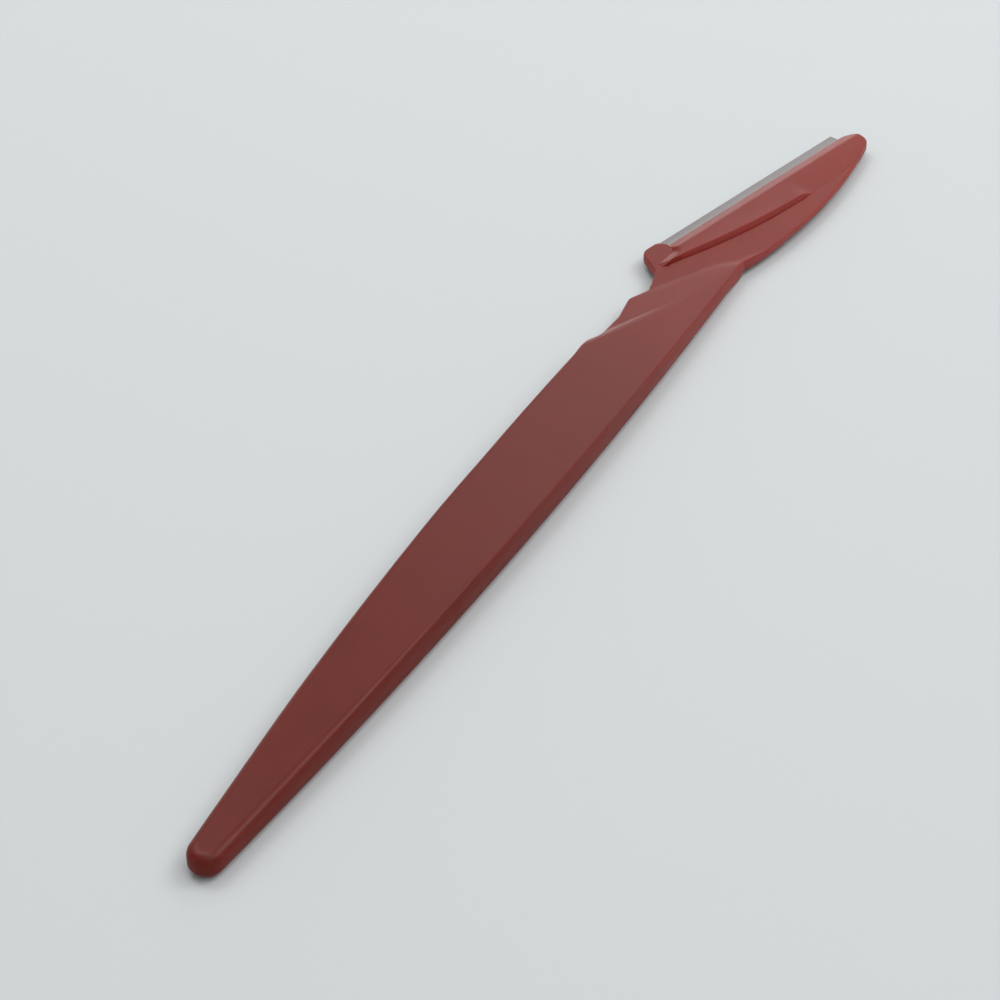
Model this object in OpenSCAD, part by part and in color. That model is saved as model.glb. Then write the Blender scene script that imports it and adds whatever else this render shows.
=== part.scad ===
// Eyebrow razor: a moulded handle, a steel blade and the cover that clamps it.
// X runs along the handle towards the head, Y towards the cutting edge, Z up.
// The origin lies on the flat underside, below the widest point of the handle.
// The head has a frame of its own: U runs along the cutting edge from its heel,
// and V points out past the edge, so the whole head lies at a negative V.

/* [Handle] */
// Length from the widest point back to the tail tip
tail_l = 75.4; // [65:0.5:85]
// Length from the widest point forward to the back corner, where the head begins
neck_l = 37.9; // [37.2:0.1:38.6]
// Greatest width, across the side walls
handle_w = 10; // [9.4:0.1:10.8]
// Radius of the rounded tail, seen from above
tail_r = 2; // [1.6:0.1:2.6]
// Greatest thickness
handle_t = 3.7; // [3.4:0.1:4.5]
// Distance from the widest point back to the thickest point
crown_back = 25; // [15:1:30]
// Radius of the crown that runs along the top face
crown_r = 1500; // [1300:50:2500]

/* [Handle edges] */
// How far each sloping side band draws in
band_w = 0.3; // [0.1:0.05:0.4]
// Height of each sloping side band
band_h = 0.9; // [0.7:0.05:1.1]
// Edge radius at the tail
tail_edge_r = 0.6; // [0.3:0.05:0.8]
// Edge radius along the rest of the handle
edge_r = 0.2; // [0.1:0.05:0.4]
// Length over which the tail's edge radius fades out
edge_fade_l = 60; // [30:5:90]

/* [Neck] */
// Distance from the back corner to the bottom of the notch
notch_back = 10.3; // [9.8:0.1:11]
// Depth of the notch below the handle's side
notch_depth = 1.2; // [1:0.05:1.6]
// Radius at the bottom of the notch
notch_r = 0.7; // [0.4:0.1:1]
// Distance from the notch back to the bump
bump_back = 2.6; // [2.2:0.1:3.2]
// Radius of the bump
bump_r = 1.4; // [1:0.1:1.8]
// Distance from the bump back to the middle of the finger scallop
scallop_back = 6.6; // [6:0.1:7.4]
// Length of the finger scallop
scallop_l = 10.8; // [9:0.2:11.4]
// Depth of the finger scallop
scallop_depth = 1; // [0.6:0.05:1.2]
// Radius of the scallop's turns
scallop_r = 2.5; // [1.5:0.1:3]
// Distance from the notch back to the edge end of the first step
step_back = 11.8; // [10.4:0.2:13.4]
// Angle between the first step and the handle
step_angle = 26; // [21:1:30]
// Depth of the first step at its edge end
step_t = 0.5; // [0.3:0.05:0.6]
// Depth of the second step at the notch
notch_step_t = 0.05; // [0.02:0.01:0.2]
// How far the neck laps over the head past the back corner
neck_lap = 0.9; // [0.4:0.1:1.3]

/* [Head] */
// Distance along the cutting edge from its heel to the back corner
corner_u = 3.5; // [3:0.1:4]
// How far the back corner lies inside the curve of the back
corner_sink = 0.1; // [0:0.05:0.2]
// Angle by which the cutting edge leans back from the handle
head_angle = 15.6; // [14:0.2:17]
// Width of the web's strip between the ridge and the back, at its widest
strip_w = 3.65; // [3.3:0.05:4]
// Thickness of the web
web_t = 1.2; // [1.1:0.05:1.5]
// Length of the tip past the end of the blade
tip_l = 2; // [1.8:0.1:3]
// How much less deep the head's tip is than the blade
tip_taper = 0.4; // [0.3:0.05:0.5]
// Radius of the tip's corner beside the edge
tip_r = 1.7; // [1.2:0.1:1.8]
// Radius of the tip's corner at the back
tip_back_r = 1.4; // [1:0.1:1.6]
// How far the tip stands out past the plastic beside the blade
tip_guard = 0.15; // [0.05:0.05:0.5]

/* [Lobe that guards the heel of the edge] */
// Distance from the heel of the edge back to the throat
lobe_l = 5.2; // [4.9:0.1:5.5]
// Distance from the heel of the edge back to the lobe's near corner
lobe_front = 0.5; // [0.4:0.1:0.8]
// Length of the lobe's flat end between its corners
lobe_end_l = 3; // [2.8:0.1:3.3]
// Distance of the lobe's end behind the line of the cutting edge
lobe_inset = 0.15; // [0:0.05:0.3]
// Radius of the lobe's corner towards the handle
lobe_back_r = 1.5; // [1:0.1:1.8]
// Radius of the lobe's corner beside the edge
lobe_front_r = 1.1; // [0.5:0.1:1.1]
// Depth of the throat between lobe and neck, from the cutting edge
throat_depth = 4.05; // [3.8:0.05:4.3]
// Radius of the throat
throat_r = 2.8; // [2.2:0.1:3]

/* [Ridge over the blade] */
// How far the ridge reaches past the back of the blade, where it is deepest
ridge_lap = 2.05; // [1.8:0.05:2.4]
// Rise of the ridge above the web at its crest
ridge_t = 0.65; // [0.5:0.05:0.8]
// Rise of the ridge above the web at the tip
ridge_tip_t = 0.15; // [0.05:0.05:0.3]
// Length of the ridge's nose behind the heel of the edge
nose_l = 3.9; // [3.6:0.1:4.1]
// Depth of the nose's tip from the cutting edge
nose_depth = 3.65; // [3.6:0.05:3.8]
// Distance from the heel of the edge back to the ridge's shoulder, where it turns into the nose
shoulder_l = 0.7; // [0.4:0.1:1]
// Depth of the shoulder from the cutting edge
shoulder_depth = 2.8; // [2.5:0.1:3]
// Radius of the shoulder
shoulder_r = 0.8; // [0.4:0.1:1.2]
// Half of the nose's width
nose_r = 0.4; // [0.35:0.05:0.45]
// Width of the bevel beside the blade
lip_w = 1.4; // [1.1:0.1:1.5]
// Rise of the ridge above the web at the top of that bevel
lip_rise = 0.3; // [0.2:0.05:0.4]
// Thickness of the plastic on each side of the blade, where the steel comes out
lip_t = 0.25; // [0.2:0.05:0.35]

/* [Blade] */
// Length of the cutting edge
blade_l = 31.5; // [29:0.1:31.6]
// Thickness of the steel
blade_t = 0.2; // [0.15:0.01:0.3]
// Height of the steel strip, from its back to its cutting edge
blade_h = 4.8; // [4.6:0.1:4.9]
// How far the cutting edge stands out of the head
exposure = 1.4; // [1.2:0.05:1.6]
// Width of the ground bevel
grind_w = 0.7; // [0.4:0.05:0.9]
// Thickness left at the cutting edge
edge_t = 0.02; // [0.01:0.01:0.04]
// Size of the clipped back corners
clip_w = 0.8; // [0.7:0.05:1]

/* [Pegs] */
// Number of pegs
peg_count = 3; // [2:1:4]
// Diameter of a peg
peg_d = 1.1; // [0.9:0.05:1.2]
// Diameter of a peg's staked head
stake_d = 1.6; // [1.45:0.05:1.7]
// Thickness of a peg's staked head
stake_t = 0.25; // [0.2:0.05:0.3]
// How far a staked head lies under the surface
stake_sink = 0.08; // [0.07:0.01:0.15]
// Distance of the pegs from the back of the blade
peg_back = 1.2; // [1.1:0.05:1.3]
// Distance of each outer peg from its end of the blade
peg_inset = 3.5; // [2.5:0.1:5]

/* [Clearances] */
// Gap round the cover in its pocket
cover_gap = 0.04; // [0.02:0.01:0.08]
// Gap round the blade in its recess
blade_gap = 0.05; // [0.02:0.01:0.08]
// Gap round a peg in the blade's hole
blade_hole_gap = 0.05; // [0.03:0.01:0.1]
// Gap round a peg and its staked head in the handle
peg_gap = 0.03; // [0.02:0.01:0.06]
// Height of the head's lower ridge above the plane that the handle rests on
rest_gap = 0.05; // [0.02:0.01:0.2]

/* [Hidden] */
$fn = 48;

// Overrun of a cut past the solid that it cuts, and reach of a cut that clears a whole region
over = web_t;
reach = handle_w * 3;

// Steps along the curves
side_steps = 26;
tail_steps = 7;
edge_steps = 3;
back_steps = 16;
ridge_steps = 16;
crest_steps = 14;
corner_steps = 8;

// Heights: the head lies evenly about the middle plane of the blade
blade_z = rest_gap + ridge_t + web_t / 2;
web_top = blade_z + web_t / 2;
web_bottom = blade_z - web_t / 2;
seat_z = blade_z - blade_t / 2;
cover_z = blade_z + blade_t / 2;

// Two long arcs form the sides and meet the round tail
half_w = handle_w / 2;
tail_x = tail_l - tail_r;
side_r = (tail_x * tail_x + half_w * half_w - tail_r * tail_r) / (2 * (half_w - tail_r));
side_drop = side_r - half_w;
tail_turn = asin(tail_x / (side_r - tail_r));
front_turn = asin((neck_l + over) / side_r);

function side_y(x) = sqrt(side_r * side_r - x * x) - side_drop;
function top_z(x) = handle_t - crown_r + sqrt(crown_r * crown_r - pow(x + crown_back, 2));

// Turns round the outline from the neck to the tail tip
turns = concat(
    [for (i = [0 : side_steps]) (tail_turn + front_turn) * i / side_steps - front_turn],
    [for (i = [1 : tail_steps]) tail_turn + (90 - tail_turn) * i / tail_steps]
);
ring_l = 2 * len(turns) - 1;

// Point of the outline at a turn, drawn in by an inset
function side_point(turn, inset) = turn <= tail_turn
    ? [-(side_r - inset) * sin(turn), (side_r - inset) * cos(turn) - side_drop]
    : [-tail_x - (tail_r - inset) * sin(turn), (tail_r - inset) * cos(turn)];

// Edge profile at a place along X, from the flat face out to the side wall
band_share = 0.45;
function edge_round(x) = edge_r + (tail_edge_r - edge_r) * max(0, 1 - (x + tail_l) / edge_fade_l);
function band_drop(x) = min(band_h, top_z(x) * band_share);
function face_inset(x) = band_w + edge_round(x);
function wall_inset(x) = band_w * (1 - edge_round(x) / band_drop(x));
function level_inset(k, x) = k > edge_steps ? 0
    : face_inset(x) - (face_inset(x) - wall_inset(x)) * sin(90 * k / edge_steps);
function level_drop(k, x) = k > edge_steps ? band_drop(x)
    : edge_round(x) * (1 - cos(90 * k / edge_steps));

// Closed ring of the handle's skin at one level, on the underside or on the top
function ring_turn(i) = i < len(turns) ? turns[i] : turns[ring_l - 1 - i];
function skin_point(i, k, top) = let (
    turn = ring_turn(i),
    place = side_point(turn, 0).x,
    p = side_point(turn, level_inset(k, place)),
    drop = level_drop(k, place)
) [p.x, i < len(turns) ? p.y : -p.y, top ? top_z(p.x) - drop : drop];
function skin_ring(k, top) = [for (i = [0 : ring_l - 1]) skin_point(i, k, top)];

// Faces between rings, and the strips that close the flat faces
function band_faces(rings) = [for (k = [0 : rings - 2], i = [0 : ring_l - 1])
    let (a = k * ring_l, b = a + ring_l, j = (i + 1) % ring_l)
        each [[a + i, b + i, b + j], [a + i, b + j, a + j]]];
function strip_faces(first) = concat([for (i = [0 : len(turns) - 3])
    let (a = first + i, b = first + ring_l - 1 - i) each [[a, a + 1, b - 1], [a, b - 1, b]]],
    [[first + len(turns) - 2, first + len(turns) - 1, first + len(turns)]]);
function flipped(faces) = [for (f = faces) [f[2], f[1], f[0]]];

// Corner rounding: a path's entries are [point, radius]
function unit(v) = v / norm(v);
function rounded_corner(before, q, after, r) = r <= 0 ? [q] : let (
    d = unit(before - q),
    e = unit(after - q),
    half = acos(d * e) / 2,
    c = q + unit(d + e) * r / sin(half),
    start = q + d * r / tan(half) - c,
    sweep = sign(cross(q - before, after - q)) * (180 - 2 * half)
) [for (i = [0 : corner_steps])
    let (a = atan2(start.y, start.x) + sweep * i / corner_steps) c + r * [cos(a), sin(a)]];
function rounded(path) = let (n = len(path)) [for (i = [0 : n - 1])
    each rounded_corner(path[(i + n - 1) % n][0], path[i][0], path[(i + 1) % n][0], path[i][1])];
function plain(points) = [for (p = points) [p, 0]];

// Corners of the neck
kink = [neck_l, -side_y(neck_l)];
lap_end = [neck_l + neck_lap, -side_y(neck_l + neck_lap)];
notch_x = neck_l - notch_back;
notch = [notch_x, side_y(notch_x) - notch_depth];
bump_x = notch_x - bump_back;
bump = [bump_x, side_y(bump_x)];
scallop_x = bump_x - scallop_back;
step_x = notch_x - step_back;
step_start = [step_x, side_y(step_x)];
step_run = [cos(step_angle), -sin(step_angle)];

// The head: the blade sets its length and depth, and it hangs from the back corner
deepest_share = 0.18;
blade_u = 2 * blade_gap;
blade_end = blade_u + blade_l;
tip_u = blade_end + 2 * blade_gap;
head_l = blade_end + tip_l;
deepest_u = head_l * deepest_share;
ridge_depth = blade_h + ridge_lap;
head_depth = ridge_depth + strip_w;
tip_depth = blade_h - tip_taper;
back_r = pow(head_l - deepest_u, 2) / (2 * (head_depth - tip_depth));
function back_v(u) = pow(u - deepest_u, 2) / (2 * back_r) - head_depth;
along = [cos(head_angle), -sin(head_angle)];
across = [sin(head_angle), cos(head_angle)];
heel = kink - corner_u * along - (back_v(corner_u) + corner_sink) * across;
function to_head(p) = [(p - heel) * along, (p - heel) * across];

// Region that the scallop, the notch and the second step take off the neck
floor_share = 0.22;
scallop_floor = side_y(scallop_x) - scallop_depth;
lap_far = lap_end + reach * unit(lap_end - notch);
neck_cut = rounded([
    [[scallop_x - scallop_l, half_w + over], 0],
    [[scallop_x - scallop_l / 2, side_y(scallop_x - scallop_l / 2)], scallop_r],
    [[scallop_x - scallop_l * floor_share, scallop_floor], scallop_r],
    [[scallop_x + scallop_l * floor_share, scallop_floor], scallop_r],
    [bump, bump_r],
    [notch, 0],
    [lap_far, 0],
    [[lap_far.x, half_w + over], 0],
]);

// Outline of the head in its own frame; its first and last points lie inside the neck
bump_share = 0.7;
tip_round_share = 0.9;
guard_v = tip_guard - exposure;
tip_front_r = min(tip_r, (head_l - tip_u) * tip_round_share);
tip_rear_r = min(tip_back_r, (tip_depth + guard_v) * tip_round_share / 2);
neck_root = to_head([bump.x, notch.y + (bump.y - notch.y) * bump_share]);
back_start = corner_u - notch_depth;
back_end = head_l - 2 * tip_rear_r;
head_path = rounded(concat(
    plain([neck_root]),
    [[to_head(notch), notch_r], [[-lobe_l, -throat_depth], throat_r]],
    [[[-lobe_front - lobe_end_l, -lobe_inset], lobe_back_r]],
    [[[-lobe_front, -lobe_inset], lobe_front_r]],
    plain([[-blade_u, -exposure], [tip_u, -exposure], [tip_u, guard_v]]),
    [[[head_l, guard_v], tip_front_r], [[head_l, -tip_depth], tip_rear_r]],
    plain([for (i = [back_steps : -1 : 0])
        let (u = back_start + (back_end - back_start) * i / back_steps) [u, back_v(u)]])
));

// Region of the ridge, which runs out past the edge and the tip; the head's outline trims it
nose_share = 0.9;
ridge_share = 0.55;
ridge_u = head_l * ridge_share;
nose_end = 3 * nose_r - nose_l;
nose_low = nose_depth + 4 * nose_r / 3;
ridge_r = pow(ridge_u - nose_end, 2) / (2 * (ridge_depth - nose_low));
function ridge_v(u) = pow(u - ridge_u, 2) / (2 * ridge_r) - ridge_depth;
function ridge_path(gap) = rounded(concat(
    plain([[over - blade_u - gap, over], [-blade_u - gap, gap - exposure]]),
    [[[-shoulder_l - gap, gap - shoulder_depth], shoulder_r]],
    [[[-nose_l - gap, nose_r - nose_depth + gap], nose_r * nose_share + gap]],
    [[[-nose_l - gap, -nose_r - nose_depth - gap], nose_r * nose_share + gap]],
    plain([for (i = [0 : ridge_steps])
        let (u = nose_end + (head_l + over - nose_end) * i / ridge_steps) [u, ridge_v(u) - gap]]),
    plain([[head_l + over, over]])
));

// Roof across the ridge as [V, Z]: a bevel beside the blade, then a gentle climb to the crest
lip_v = -exposure - lip_w;
lip_z = web_top + lip_rise;
lip_low = cover_z + lip_t;
function roof_z(v) = lip_z + (lip_v - v) * (ridge_t - lip_rise) / (ridge_depth + lip_v);
function mirror_z(z) = 2 * blade_z - z;

// Roof along the ridge as [U, Z]: an arc over the crest that ends in the flat tip
crest_share = 0.24;
flat_share = 0.66;
crest_u = head_l * crest_share;
flat_u = head_l * flat_share;
crest_r = pow(flat_u - crest_u, 2) / (2 * (ridge_t - ridge_tip_t));
function crest_z(u) = u > flat_u ? web_top + ridge_tip_t
    : web_top + ridge_t - pow(u - crest_u, 2) / (2 * crest_r);
crest_line = [for (i = [0 : crest_steps])
    let (u = -nose_l - over + (flat_u + nose_l + over) * i / crest_steps) [u, crest_z(u)]];

// Places of the pegs along the blade
peg_v = peg_back - blade_h;
peg_pitch = (blade_l - 2 * peg_inset) / (peg_count - 1);
peg_places = [for (i = [0 : peg_count - 1]) blade_u + peg_inset + i * peg_pitch];
function peg_low(u) = mirror_z(min(roof_z(peg_v), crest_z(u))) + stake_sink;

module head_frame() {
    translate([heel.x, heel.y, 0])
        rotate([0, 0, -head_angle])
            children();
}

// What a roof across and a roof along the head leave of a block, from a floor upwards
module under_roof(floor_z) {
    far = head_l + over;
    intersection() {
        translate([-reach, 0, 0])
            rotate([90, 0, 90])
                linear_extrude(reach * 3)
                    polygon([[over, floor_z], [over, lip_low], [-exposure, lip_low], [lip_v, lip_z],
                        [-head_depth, roof_z(-head_depth)], [-head_depth, floor_z]]);
        translate([0, over, 0])
            rotate([90, 0, 0])
                linear_extrude(head_depth + 2 * over)
                    polygon(concat([[-nose_l - over, floor_z]], crest_line,
                        [[far, crest_z(far)], [far, floor_z]]));
        linear_extrude(reach)
            ridge_2d();
    }
}

module skin() {
    points = concat(
        [for (k = [0 : edge_steps + 1]) each skin_ring(k, false)],
        [for (k = [edge_steps + 1 : -1 : 0]) each skin_ring(k, true)]
    );
    rings = 2 * (edge_steps + 2);
    faces = concat(strip_faces(0), band_faces(rings), flipped(strip_faces((rings - 1) * ring_l)));
    polyhedron(points, faces, convexity = 4);
}

// Region above the plane through three points, past the line of the first step
module above(a, b, c) {
    n = cross(b - a, c - a);
    back = step_start - over * step_run;
    far = step_start + reach * step_run;
    corners = [back, far, far + [reach, reach], back + [reach, reach]];
    low = [for (p = corners) [p.x, p.y, a.z - (n.x * (p.x - a.x) + n.y * (p.y - a.y)) / n.z]];
    high = [for (p = corners) [p.x, p.y, reach]];
    polyhedron(concat(low, high), [[0, 1, 2], [0, 2, 3], [4, 6, 5], [4, 7, 6], [0, 5, 1], [0, 4, 5],
        [1, 6, 2], [1, 5, 6], [2, 7, 3], [2, 6, 7], [3, 4, 0], [3, 7, 4]]);
}

// The step on the top goes down to the web, and its twin below comes up to the web
module steps() {
    above([step_start.x, step_start.y, top_z(step_x) - step_t],
        [notch.x, notch.y, web_top + notch_step_t],
        [kink.x, kink.y, top_z(neck_l)]);
    mirror([0, 0, 1])
        above([step_start.x, step_start.y, -step_t],
            [notch.x, notch.y, notch_step_t - web_bottom],
            [kink.x, kink.y, 0]);
}

module neck() {
    difference() {
        skin();
        translate([0, 0, -over])
            linear_extrude(handle_t + 2 * over)
                polygon(neck_cut);
        steps();
    }
}

module head_2d() {
    polygon(head_path);
}

module ridge_2d() {
    intersection() {
        head_2d();
        polygon(ridge_path(0));
    }
}

// Web of the head around the ridge, which it overlaps a little
module web() {
    translate([0, 0, web_bottom])
        linear_extrude(web_t)
            difference() {
                head_2d();
                polygon(ridge_path(-cover_gap));
            }
}

// Body under the blade, the mirror image of the cover; the pocket cuts its top
module low_ridge() {
    translate([0, 0, 2 * blade_z])
        mirror([0, 0, 1])
            under_roof(mirror_z(web_top));
}

// Shape of the steel strip seen from above, run out past the cutting edge
module strip_2d(gap) {
    low = -blade_h - gap;
    polygon([
        [blade_u - gap, over], [blade_u - gap, low + clip_w], [blade_u - gap + clip_w, low],
        [blade_end + gap - clip_w, low], [blade_end + gap, low + clip_w], [blade_end + gap, over],
    ]);
}

// The pegs with their staked heads, or the holes for them
module pegs(gap) {
    for (u = peg_places)
        translate([u, peg_v, peg_low(u)]) {
            cylinder(h = cover_z + lip_t - peg_low(u), d = peg_d + 2 * gap);
            cylinder(h = stake_t, d1 = stake_d + 2 * gap, d2 = peg_d + 2 * gap);
        }
}

// Room for the cover, the blade and the pegs
module pocket() {
    translate([0, 0, cover_z])
        linear_extrude(reach)
            polygon(ridge_path(cover_gap));
    translate([0, 0, seat_z])
        linear_extrude(over)
            strip_2d(blade_gap);
    pegs(peg_gap);
    for (u = peg_places)
        translate([u, peg_v, -over])
            cylinder(h = peg_low(u) + over, d = stake_d + 2 * peg_gap);
}

// Handle, neck and head as one moulding
module handle() {
    color("#844a44")
        difference() {
            union() {
                neck();
                head_frame() {
                    web();
                    low_ridge();
                }
            }
            head_frame()
                pocket();
        }
}

// Strip of steel, ground from both sides, with clipped back corners and a hole for each peg
module blade() {
    half_t = blade_t / 2;
    color("#a5a9ac")
        head_frame()
            difference() {
                intersection() {
                    translate([-reach, 0, blade_z])
                        rotate([90, 0, 90])
                            linear_extrude(reach * 3)
                                polygon([[0, edge_t / 2], [-grind_w, half_t], [-blade_h, half_t],
                                    [-blade_h, -half_t], [-grind_w, -half_t], [0, -edge_t / 2]]);
                    linear_extrude(handle_t)
                        strip_2d(0);
                }
                for (u = peg_places)
                    translate([u, peg_v, 0])
                        cylinder(h = handle_t, d = peg_d + 2 * blade_hole_gap);
            }
}

// Cover over the blade, with the pegs that clamp it from under the head
module blade_cover() {
    color("#96514a")
        head_frame() {
            under_roof(cover_z);
            pegs(0);
        }
}

handle();
blade();
blade_cover();
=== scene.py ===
import math

import bpy
import numpy as np
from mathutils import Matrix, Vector
from mathutils.geometry import delaunay_2d_cdt


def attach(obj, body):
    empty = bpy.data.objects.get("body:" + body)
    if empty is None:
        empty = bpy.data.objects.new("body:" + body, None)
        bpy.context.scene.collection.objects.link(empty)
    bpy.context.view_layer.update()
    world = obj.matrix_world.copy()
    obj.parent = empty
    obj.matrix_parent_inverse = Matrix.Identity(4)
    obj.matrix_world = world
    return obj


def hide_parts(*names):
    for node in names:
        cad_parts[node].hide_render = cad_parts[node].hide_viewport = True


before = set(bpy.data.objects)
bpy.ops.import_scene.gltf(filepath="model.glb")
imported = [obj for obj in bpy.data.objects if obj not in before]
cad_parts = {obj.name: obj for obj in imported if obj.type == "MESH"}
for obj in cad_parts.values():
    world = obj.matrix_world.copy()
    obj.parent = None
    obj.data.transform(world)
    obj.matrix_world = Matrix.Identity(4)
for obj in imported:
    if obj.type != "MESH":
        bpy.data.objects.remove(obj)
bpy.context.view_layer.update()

# Sizes are in millimetres and have the solids' names and values, apart from four radii that say
# so. The head has a frame of its own: U runs along the cutting edge from its heel, and V points
# out past the edge, so the whole head lies at a negative V.

# Handle
TAIL_L = 75.4  # from the widest point back to the tail tip
NECK_L = 37.9  # from the widest point forward to the back corner, where the head begins
HANDLE_W = 10.0
TAIL_R = 2.0
HANDLE_T = 3.7
CROWN_BACK = 25.0  # from the widest point back to the thickest
CROWN_R = 1500.0

# Handle edges
BAND_W = 0.3  # how far each sloping side band draws in
BAND_H = 0.9
TAIL_EDGE_R = 0.85  # 0.6 in the solids
EDGE_R = 0.2
EDGE_FADE_L = 60.0

# Neck
NOTCH_BACK = 10.3  # from the back corner
NOTCH_DEPTH = 1.2
NOTCH_R = 0.7
BUMP_BACK = 2.6  # from the notch
BUMP_R = 1.4
SCALLOP_BACK = 6.6  # from the bump to the scallop's middle
SCALLOP_L = 10.8
SCALLOP_DEPTH = 1.0
SCALLOP_R = 2.5
STEP_BACK = 11.8  # from the notch to the edge end of the first step
STEP_ANGLE = 26.0
STEP_T = 0.5
NOTCH_STEP_T = 0.05  # depth of the second step at the notch

# Head
CORNER_U = 3.5
CORNER_SINK = 0.1
HEAD_ANGLE = 15.6
STRIP_W = 3.65  # of the web between the ridge and the back
WEB_T = 1.2
TIP_L = 2.0
TIP_TAPER = 0.4
TIP_R = 1.75  # 1.7 in the solids
TIP_BACK_R = 1.5  # 1.4 in the solids
TIP_GUARD = 0.15

# Lobe that guards the heel of the edge
LOBE_L = 5.2
LOBE_FRONT = 0.5
LOBE_END_L = 3.0
LOBE_INSET = 0.15
LOBE_BACK_R = 1.7  # 1.5 in the solids
LOBE_FRONT_R = 1.1
THROAT_DEPTH = 4.05
THROAT_R = 2.8

# Ridge over the blade
RIDGE_LAP = 2.05
RIDGE_T = 0.65
NOSE_L = 3.9
NOSE_DEPTH = 3.65
NOSE_R = 0.4
SHOULDER_L = 0.7
SHOULDER_DEPTH = 2.8
SHOULDER_R = 0.8
LIP_W = 1.4
LIP_RISE = 0.3
LIP_T = 0.25

# Blade and pegs
BLADE_L = 31.5
BLADE_T = 0.2
BLADE_H = 4.8
EXPOSURE = 1.4
GRIND_W = 0.7
EDGE_T = 0.02
CLIP_W = 0.8
PEG_COUNT = 3
PEG_D = 1.1
STAKE_D = 1.6
STAKE_SINK = 0.08
PEG_BACK = 1.2
PEG_INSET = 3.5

# Clearances
BLADE_GAP = 0.05
PEG_GAP = 0.03
REST_GAP = 0.05

# Forms that only the scene has
MEET_R = 0.8  # at the back corner
SCALLOP_FLOOR, SCALLOP_REACH = 0.22, 0.36  # shares of its length on each side of its middle
SCALLOP_TILT, SCALLOP_END_R = 0.04, 1.8
FAR_DRAW = 0.15  # how far the far side draws in before the scallop
FAR_DRAW_X, FAR_DRAW_L = -22, 14
TAIL_DRAW = 0.05  # the share by which the far side narrows towards the tail
TAIL_DRAW_X, TAIL_DRAW_L = -50, 18
BAND_FADE_X, BAND_END_W = [-35, 10], 0.1  # the near side's band narrows between these places
FRONT_SHIFT = 0.1  # of the cover's front edge, out over the blade
CREST_DIP = 0.0016  # fall of the rib's crest with the square of the distance from its top
RIB_END_U, RIB_DROP_L = 17.8, 2.6
SEAM_T = 0.012  # what is left of the rib past its end
TIP_DIP, TIP_DIP_FROM = 0.002, 9
NOSE_SLOPE = 0.42
STEP_SOFT, STEP_SOFT_END, STEP_LEAD = 1.45, 3.0, 0.3  # width and lead of the first step's riser
STEP_FADE, STEP_FADE_L = 11.0, 4
FLANK_RUN, FLANK_START = [1.7, 4.3, 6.9, 9.5, 11.8], [0.45, 0.3, 0.15, 0.1, 0.9]
FLANK_SLOPE_RUN, FLANK_SLOPE = [9.3, 11.7], [0.12, 0.2]
WEB_AT, WEB_SOFT = 1.9, 0.6
LOW_SOFT, LOW_LEAD = 0.8, 1.3
FOOT_U, FOOT_W = [-3.9, -2, 1], [0.2, 0.35, 0.55]  # the lower ridge's foot
RIM_RUN, RIM_DEPTH = [0.8, 1.8], [-0.02, 0.15]  # of the pocket, past the rib's end
SEAT_SINK = 0.005  # keeps the seat and the pocket clear of the steel and the cover
STAKE_DEPTH = 0.5
SOFT_STEP, SOFT_WEB, SOFT_BEVEL, SOFT_NOSE = 0.05, 0.08, 0.06, 0.04  # joins of surfaces
CUT_BAND_W, CUT_EDGE_R = 0.03, 0.2  # along the neck and head
CUT_WALL = 0.12
LOW_EDGE_W, LOW_EDGE_H, HEAD_LOW_EDGE_H = 0.5, 0.9, 0.5  # chamfers of the underside
LIP_WALL_W, LIP_WALL_H, LIP_WALL_R = 0.03, 0.22, 0.14  # walls of the cover
FRONT_WALL_H, FRONT_WALL_R, END_WALL_R, LEAST_WALL_H = 0.14, 0.08, 0.12, 0.02
RIDGE_WALL_R, SEAM_WALL_R = 0.09, 0.015
RIDGE_WALL_END = 2.4  # how far past the rib's end its wall runs out

# Steps of the meshes
EDGE_STEPS = 5
MOST_INSET = 1.8
RING_STEP = 0.13
FINE_FROM, COARSE_STEP = 13, 0.9

# Looks. Painted light lightens the plastic's base colour towards the head, standing in for brighter
# lamp light there and for light through the thin plastic, and more is painted on the side walls;
# WALL_SHINE is added to SHINE on the side walls. Each is given at places along the part.
WALL_SHARES = (1, 0.9, 0.7, 0.5, 0.35, 0.2)  # how much each ring counts as side wall, going inwards
PAINTED_LIGHT_X, PAINTED_LIGHT = [5, 35, 67], [0, 0.4, 0.67]
WALL_X, WALL_PAINTED_LIGHT, WALL_SHINE = [-30, 12, 36, 46], [0, 0.3, 0.4, 0.6], [-0.12, 0.06, 0.2, 0.4]
# the pegs' fixed share of painted light in their base colour
SHINE, PEG_PAINTED_LIGHT = 0.32, 0.55
RED_DARK, RED_LIGHT = (0.30, 0.027, 0.014), (0.33, 0.030, 0.016)
# base colour gains with no painted light and with full painted light
BASE_GAIN, PAINTED_LIGHT_GAIN = (0.5, 0.5, 0.5), (0.98, 0.83, 0.83)
STEEL_DARK, STEEL_LIGHT = (0.232, 0.213, 0.21), (0.272, 0.25, 0.246)

# Heights and lengths that follow from the sizes
BLADE_Z = REST_GAP + RIDGE_T + WEB_T / 2
WEB_TOP, WEB_BOTTOM = BLADE_Z + WEB_T / 2, BLADE_Z - WEB_T / 2
SEAT_Z, COVER_Z = BLADE_Z - BLADE_T / 2, BLADE_Z + BLADE_T / 2
HALF_W, TAIL_X = HANDLE_W / 2, TAIL_L - TAIL_R
SIDE_R = (TAIL_X ** 2 + HALF_W ** 2 - TAIL_R ** 2) / (2 * (HALF_W - TAIL_R))
TAIL_TURN = math.asin(TAIL_X / (SIDE_R - TAIL_R))


def side_y(x):
    return np.sqrt(SIDE_R ** 2 - np.square(x)) - SIDE_R + HALF_W


def top_z(x):
    return HANDLE_T - CROWN_R + np.sqrt(CROWN_R ** 2 - np.square(np.asarray(x) + CROWN_BACK))


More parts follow.
